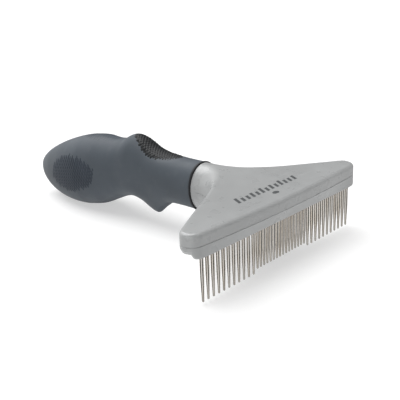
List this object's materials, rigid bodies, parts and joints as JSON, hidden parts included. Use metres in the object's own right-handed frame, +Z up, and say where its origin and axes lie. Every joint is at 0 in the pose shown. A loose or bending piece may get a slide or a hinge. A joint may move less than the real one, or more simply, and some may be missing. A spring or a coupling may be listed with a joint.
{
  "type": "undercoat rake",
  "caption": "Undercoat rake for grooming dogs: a wide winged plastic head with a row of turning steel teeth, coarse outside and fine in the middle, on a soft shaped handle.",
  "frame": {"origin": "middle of the tooth row, on the bottom face of the strip that the teeth come out of", "axes": "+X along the row of teeth, +Y from the head back along the handle, +Z up, away from the tooth tips"},
  "size_m": [0.1174, 0.1751, 0.0451],
  "materials": {
    "head_plastic": "satin grey moulding",
    "tooth_steel": "ground and polished",
    "grip_rubber": "soft matt overmould",
    "pad_rubber": "scale textured",
    "thumb_rubber": "ribbed, nearly black",
    "ring_rubber": "matt black",
    "core_plastic": "as moulded",
    "fastener_steel": "zinc plated"
  },
  "bodies": {
    "rake_body": {"head_cover": "head_plastic", "head_base": "head_plastic", "tooth_retainer": "core_plastic", "head_screws": "fastener_steel", "core_pin": "fastener_steel", "neck_ring": "ring_rubber", "handle_core_left": "core_plastic", "handle_core_right": "core_plastic", "grip_sleeve": "grip_rubber", "thumb_pad": "thumb_rubber", "palm_pad": "pad_rubber", "side_pad_left": "pad_rubber", "side_pad_right": "pad_rubber"},
    "tooth_01": {"tooth_01": "tooth_steel"},
    "tooth_02": {"tooth_02": "tooth_steel"},
    "tooth_03": {"tooth_03": "tooth_steel"},
    "tooth_04": {"tooth_04": "tooth_steel"},
    "tooth_05": {"tooth_05": "tooth_steel"},
    "tooth_06": {"tooth_06": "tooth_steel"},
    "tooth_07": {"tooth_07": "tooth_steel"},
    "tooth_08": {"tooth_08": "tooth_steel"},
    "tooth_09": {"tooth_09": "tooth_steel"},
    "tooth_10": {"tooth_10": "tooth_steel"},
    "tooth_11": {"tooth_11": "tooth_steel"},
    "tooth_12": {"tooth_12": "tooth_steel"},
    "tooth_13": {"tooth_13": "tooth_steel"},
    "tooth_14": {"tooth_14": "tooth_steel"},
    "tooth_15": {"tooth_15": "tooth_steel"},
    "tooth_16": {"tooth_16": "tooth_steel"},
    "tooth_17": {"tooth_17": "tooth_steel"},
    "tooth_18": {"tooth_18": "tooth_steel"},
    "tooth_19": {"tooth_19": "tooth_steel"},
    "tooth_20": {"tooth_20": "tooth_steel"},
    "tooth_21": {"tooth_21": "tooth_steel"},
    "tooth_22": {"tooth_22": "tooth_steel"},
    "tooth_23": {"tooth_23": "tooth_steel"},
    "tooth_24": {"tooth_24": "tooth_steel"},
    "tooth_25": {"tooth_25": "tooth_steel"},
    "tooth_26": {"tooth_26": "tooth_steel"},
    "tooth_27": {"tooth_27": "tooth_steel"},
    "tooth_28": {"tooth_28": "tooth_steel"},
    "tooth_29": {"tooth_29": "tooth_steel"},
    "tooth_30": {"tooth_30": "tooth_steel"},
    "tooth_31": {"tooth_31": "tooth_steel"},
    "tooth_32": {"tooth_32": "tooth_steel"},
    "tooth_33": {"tooth_33": "tooth_steel"},
    "tooth_34": {"tooth_34": "tooth_steel"},
    "tooth_35": {"tooth_35": "tooth_steel"},
    "tooth_36": {"tooth_36": "tooth_steel"},
    "tooth_37": {"tooth_37": "tooth_steel"},
    "tooth_38": {"tooth_38": "tooth_steel"}
  },
  "joints": [
    {"name": "tooth_01_spin", "type": "hinge", "parent": "rake_body", "child": "tooth_01", "pos_m": [-0.05205, 0, 0], "axis": [0, 0, 1], "continuous": true},
    {"name": "tooth_02_spin", "type": "hinge", "parent": "rake_body", "child": "tooth_02", "pos_m": [-0.04883, 0, 0], "axis": [0, 0, 1], "continuous": true},
    {"name": "tooth_03_spin", "type": "hinge", "parent": "rake_body", "child": "tooth_03", "pos_m": [-0.04561, 0, 0], "axis": [0, 0, 1], "continuous": true},
    {"name": "tooth_04_spin", "type": "hinge", "parent": "rake_body", "child": "tooth_04", "pos_m": [-0.04239, 0, 0], "axis": [0, 0, 1], "continuous": true},
    {"name": "tooth_05_spin", "type": "hinge", "parent": "rake_body", "child": "tooth_05", "pos_m": [-0.03917, 0, 0], "axis": [0, 0, 1], "continuous": true},
    {"name": "tooth_06_spin", "type": "hinge", "parent": "rake_body", "child": "tooth_06", "pos_m": [-0.03595, 0, 0], "axis": [0, 0, 1], "continuous": true},
    {"name": "tooth_07_spin", "type": "hinge", "parent": "rake_body", "child": "tooth_07", "pos_m": [-0.03273, 0, 0], "axis": [0, 0, 1], "continuous": true},
    {"name": "tooth_08_spin", "type": "hinge", "parent": "rake_body", "child": "tooth_08", "pos_m": [-0.02951, 0, 0], "axis": [0, 0, 1], "continuous": true},
    {"name": "tooth_09_spin", "type": "hinge", "parent": "rake_body", "child": "tooth_09", "pos_m": [-0.02629, 0, 0], "axis": [0, 0, 1], "continuous": true},
    {"name": "tooth_10_spin", "type": "hinge", "parent": "rake_body", "child": "tooth_10", "pos_m": [-0.02307, 0, 0], "axis": [0, 0, 1], "continuous": true},
    {"name": "tooth_11_spin", "type": "hinge", "parent": "rake_body", "child": "tooth_11", "pos_m": [-0.01985, 0, 0], "axis": [0, 0, 1], "continuous": true},
    {"name": "tooth_12_spin", "type": "hinge", "parent": "rake_body", "child": "tooth_12", "pos_m": [-0.0171, 0, 0], "axis": [0, 0, 1], "continuous": true},
    {"name": "tooth_13_spin", "type": "hinge", "parent": "rake_body", "child": "tooth_13", "pos_m": [-0.01482, 0, 0], "axis": [0, 0, 1], "continuous": true},
    {"name": "tooth_14_spin", "type": "hinge", "parent": "rake_body", "child": "tooth_14", "pos_m": [-0.01254, 0, 0], "axis": [0, 0, 1], "continuous": true},
    {"name": "tooth_15_spin", "type": "hinge", "parent": "rake_body", "child": "tooth_15", "pos_m": [-0.01026, 0, 0], "axis": [0, 0, 1], "continuous": true},
    {"name": "tooth_16_spin", "type": "hinge", "parent": "rake_body", "child": "tooth_16", "pos_m": [-0.00798, 0, 0], "axis": [0, 0, 1], "continuous": true},
    {"name": "tooth_17_spin", "type": "hinge", "parent": "rake_body", "child": "tooth_17", "pos_m": [-0.0057, 0, 0], "axis": [0, 0, 1], "continuous": true},
    {"name": "tooth_18_spin", "type": "hinge", "parent": "rake_body", "child": "tooth_18", "pos_m": [-0.00342, 0, 0], "axis": [0, 0, 1], "continuous": true},
    {"name": "tooth_19_spin", "type": "hinge", "parent": "rake_body", "child": "tooth_19", "pos_m": [-0.00114, 0, 0], "axis": [0, 0, 1], "continuous": true},
    {"name": "tooth_20_spin", "type": "hinge", "parent": "rake_body", "child": "tooth_20", "pos_m": [0.00114, 0, 0], "axis": [0, 0, 1], "continuous": true},
    {"name": "tooth_21_spin", "type": "hinge", "parent": "rake_body", "child": "tooth_21", "pos_m": [0.00342, 0, 0], "axis": [0, 0, 1], "continuous": true},
    {"name": "tooth_22_spin", "type": "hinge", "parent": "rake_body", "child": "tooth_22", "pos_m": [0.0057, 0, 0], "axis": [0, 0, 1], "continuous": true},
    {"name": "tooth_23_spin", "type": "hinge", "parent": "rake_body", "child": "tooth_23", "pos_m": [0.00798, 0, 0], "axis": [0, 0, 1], "continuous": true},
    {"name": "tooth_24_spin", "type": "hinge", "parent": "rake_body", "child": "tooth_24", "pos_m": [0.01026, 0, 0], "axis": [0, 0, 1], "continuous": true},
    {"name": "tooth_25_spin", "type": "hinge", "parent": "rake_body", "child": "tooth_25", "pos_m": [0.01254, 0, 0], "axis": [0, 0, 1], "continuous": true},
    {"name": "tooth_26_spin", "type": "hinge", "parent": "rake_body", "child": "tooth_26", "pos_m": [0.01482, 0, 0], "axis": [0, 0, 1], "continuous": true},
    {"name": "tooth_27_spin", "type": "hinge", "parent": "rake_body", "child": "tooth_27", "pos_m": [0.0171, 0, 0], "axis": [0, 0, 1], "continuous": true},
    {"name": "tooth_28_spin", "type": "hinge", "parent": "rake_body", "child": "tooth_28", "pos_m": [0.01985, 0, 0], "axis": [0, 0, 1], "continuous": true},
    {"name": "tooth_29_spin", "type": "hinge", "parent": "rake_body", "child": "tooth_29", "pos_m": [0.02307, 0, 0], "axis": [0, 0, 1], "continuous": true},
    {"name": "tooth_30_spin", "type": "hinge", "parent": "rake_body", "child": "tooth_30", "pos_m": [0.02629, 0, 0], "axis": [0, 0, 1], "continuous": true},
    {"name": "tooth_31_spin", "type": "hinge", "parent": "rake_body", "child": "tooth_31", "pos_m": [0.02951, 0, 0], "axis": [0, 0, 1], "continuous": true},
    {"name": "tooth_32_spin", "type": "hinge", "parent": "rake_body", "child": "tooth_32", "pos_m": [0.03273, 0, 0], "axis": [0, 0, 1], "continuous": true},
    {"name": "tooth_33_spin", "type": "hinge", "parent": "rake_body", "child": "tooth_33", "pos_m": [0.03595, 0, 0], "axis": [0, 0, 1], "continuous": true},
    {"name": "tooth_34_spin", "type": "hinge", "parent": "rake_body", "child": "tooth_34", "pos_m": [0.03917, 0, 0], "axis": [0, 0, 1], "continuous": true},
    {"name": "tooth_35_spin", "type": "hinge", "parent": "rake_body", "child": "tooth_35", "pos_m": [0.04239, 0, 0], "axis": [0, 0, 1], "continuous": true},
    {"name": "tooth_36_spin", "type": "hinge", "parent": "rake_body", "child": "tooth_36", "pos_m": [0.04561, 0, 0], "axis": [0, 0, 1], "continuous": true},
    {"name": "tooth_37_spin", "type": "hinge", "parent": "rake_body", "child": "tooth_37", "pos_m": [0.04883, 0, 0], "axis": [0, 0, 1], "continuous": true},
    {"name": "tooth_38_spin", "type": "hinge", "parent": "rake_body", "child": "tooth_38", "pos_m": [0.05205, 0, 0], "axis": [0, 0, 1], "continuous": true}
  ]
}
